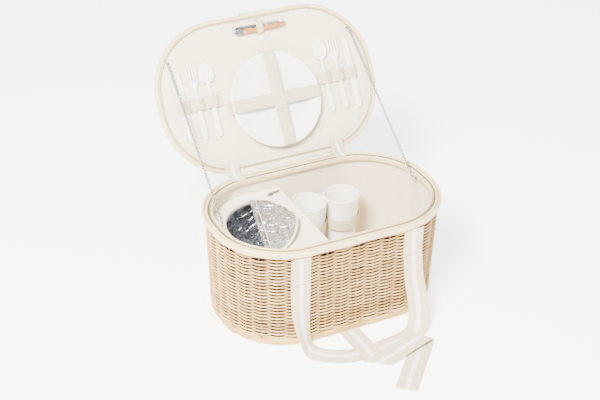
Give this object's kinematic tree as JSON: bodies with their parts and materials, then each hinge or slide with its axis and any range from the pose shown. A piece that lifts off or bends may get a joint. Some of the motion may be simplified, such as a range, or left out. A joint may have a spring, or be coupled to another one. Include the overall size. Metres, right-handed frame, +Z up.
{
  "type": "wicker picnic basket",
  "caption": "Oval wicker picnic basket with a hinged fitted lid held open by chains, webbing handles, a cloth lining, an insulated zip-top cooler compartment, plates, cutlery and cups.",
  "frame": {"origin": "centre of the basket's underside, on the surface it stands on", "axes": "+X along the basket's length, +Y towards the hinge side, +Z up"},
  "size_m": [0.48, 0.715, 0.4868],
  "materials": {
    "cane_weave": "split willow, clear dry finish",
    "rim_cane": "smooth bent cane, satin",
    "lining_cloth": "plain cotton canvas",
    "foil": "crinkled foil film",
    "webbing": "striped cotton webbing",
    "elastic": "ribbed flat elastic",
    "steel": "nickel plated",
    "tableware": "satin moulded plastic",
    "handle_wood": "oiled wood"
  },
  "bodies": {
    "root": {"wicker_body": "cane_weave", "wicker_base": "cane_weave", "base_border": "cane_weave", "rim_outer_hoop": "rim_cane", "rim_inner_hoop": "rim_cane", "lining": "lining_cloth", "cooler_shell": "lining_cloth", "foil_liner": "foil", "cooler_top": "lining_cloth", "zip_tape": "elastic", "cup_band": "elastic", "patch_front_left": "webbing", "patch_front_right": "webbing", "patch_rear_left": "webbing", "patch_rear_right": "webbing", "closing_strap": "webbing", "hinge_tab_left_lower": "webbing", "hinge_tab_right_lower": "webbing", "chain_eye_left": "steel", "chain_eye_right": "steel", "chain_lower_left": "steel", "chain_lower_right": "steel"},
    "flap": {"cooler_flap": "lining_cloth"},
    "slider_front": {"zip_slider_front": "steel"},
    "pull_front": {"zip_pull_front": "steel"},
    "slider_back": {"zip_slider_back": "steel"},
    "pull_back": {"zip_pull_back": "steel"},
    "cup_left_body": {"cup_left": "tableware"},
    "cup_right_body": {"cup_right": "tableware"},
    "front_handle": {"handle_front": "webbing"},
    "rear_handle": {"handle_rear": "webbing"},
    "lid": {"lid_shell": "cane_weave", "lid_rim": "rim_cane", "lid_lining": "lining_cloth", "strap_keeper": "webbing", "hinge_tab_left_upper": "webbing", "hinge_tab_right_upper": "webbing", "chain_upper_left": "steel", "chain_upper_right": "steel", "lid_eye_left": "steel", "lid_eye_right": "steel", "plate_band_long": "elastic", "plate_band_cross": "elastic", "cutlery_band_left": "elastic", "cutlery_band_right": "elastic", "corkscrew_loop": "elastic"},
    "plates": {"plate_inner": "tableware", "plate_outer": "tableware"},
    "knife_left_body": {"knife_left": "tableware"},
    "fork_left_body": {"fork_left": "tableware"},
    "spoon_left_body": {"spoon_left": "tableware"},
    "spoon_right_body": {"spoon_right": "tableware"},
    "fork_right_body": {"fork_right": "tableware"},
    "knife_right_body": {"knife_right": "tableware"},
    "corkscrew": {"corkscrew_handle": "handle_wood"},
    "worm": {"corkscrew_worm": "steel"},
    "lever": {"corkscrew_lever": "steel"},
    "blade": {"corkscrew_blade": "steel"}
  },
  "joints": [
    {"name": "lid_hinge", "type": "hinge", "parent": "root", "child": "lid", "pos_m": [0, 0.1575, 0.2213], "axis": [-1, 0, 0], "range_deg": [-123, 0], "deforming": ["chain_lower_left", "chain_lower_right", "chain_upper_left", "chain_upper_right"]},
    {"name": "flap_fold", "type": "hinge", "parent": "root", "child": "flap", "pos_m": [-0.124, 0.008, 0.1841], "axis": [0.2588, 0.9659, 0], "range_deg": [-180, 0]},
    {"name": "front_zip", "type": "slide", "parent": "root", "child": "slider_front", "axis": [-1, 0, 0], "range_m": [0, 0.022]},
    {"name": "front_pull", "type": "hinge", "parent": "slider_front", "child": "pull_front", "pos_m": [-0.052, -0.1122, 0.1895], "axis": [0, -1, 0], "range_deg": [0, 150]},
    {"name": "back_zip", "type": "slide", "parent": "root", "child": "slider_back", "axis": [-1, 0, 0], "range_m": [0, 0.022]},
    {"name": "back_pull", "type": "hinge", "parent": "slider_back", "child": "pull_back", "pos_m": [-0.06, 0.1122, 0.1895], "axis": [0, -1, 0], "range_deg": [0, 150]},
    {"name": "cup_left_lift", "type": "slide", "parent": "root", "child": "cup_left_body", "axis": [0, 0, 1], "range_m": [0, 0.205]},
    {"name": "cup_right_lift", "type": "slide", "parent": "root", "child": "cup_right_body", "axis": [0, 0, 1], "range_m": [0, 0.205]},
    {"name": "front_handle_swing", "type": "hinge", "parent": "root", "child": "front_handle", "pos_m": [0, -0.15, 0.142], "axis": [-1, 0, 0], "range_deg": [0, 150], "deforming": ["handle_front"]},
    {"name": "rear_handle_swing", "type": "hinge", "parent": "root", "child": "rear_handle", "pos_m": [0, 0.15, 0.142], "axis": [1, 0, 0], "range_deg": [0, 100], "deforming": ["handle_rear"]},
    {"name": "plates_out", "type": "slide", "parent": "lid", "child": "plates", "axis": [0, -0.8387, 0.5446], "range_m": [0, 0.04], "deforming": ["plate_band_long", "plate_band_cross"]},
    {"name": "knife_left_out", "type": "slide", "parent": "lid", "child": "knife_left_body", "axis": [0, 0.5446, 0.8387], "range_m": [0, 0.09]},
    {"name": "fork_left_out", "type": "slide", "parent": "lid", "child": "fork_left_body", "axis": [0, 0.5446, 0.8387], "range_m": [0, 0.09]},
    {"name": "spoon_left_out", "type": "slide", "parent": "lid", "child": "spoon_left_body", "axis": [0, 0.5446, 0.8387], "range_m": [0, 0.09]},
    {"name": "spoon_right_out", "type": "slide", "parent": "lid", "child": "spoon_right_body", "axis": [0, 0.5446, 0.8387], "range_m": [0, 0.09]},
    {"name": "fork_right_out", "type": "slide", "parent": "lid", "child": "fork_right_body", "axis": [0, 0.5446, 0.8387], "range_m": [0, 0.09]},
    {"name": "knife_right_out", "type": "slide", "parent": "lid", "child": "knife_right_body", "axis": [0, 0.5446, 0.8387], "range_m": [0, 0.09]},
    {"name": "corkscrew_out", "type": "slide", "parent": "lid", "child": "corkscrew", "axis": [0, -0.8387, 0.5446], "range_m": [0, 0.04], "deforming": ["corkscrew_loop"]},
    {"name": "worm_pivot", "type": "hinge", "parent": "corkscrew", "child": "worm", "pos_m": [0.014, 0.31283, 0.46085], "axis": [0, -0.8387, 0.5446], "range_deg": [0, 90]},
    {"name": "lever_pivot", "type": "hinge", "parent": "corkscrew", "child": "lever", "pos_m": [-0.041, 0.3131, 0.46127], "axis": [0, -0.8387, 0.5446], "range_deg": [0, 120]},
    {"name": "blade_pivot", "type": "hinge", "parent": "corkscrew", "child": "blade", "pos_m": [0.056, 0.30874, 0.45456], "axis": [0, -0.8387, 0.5446], "range_deg": [0, 110]}
  ]
}
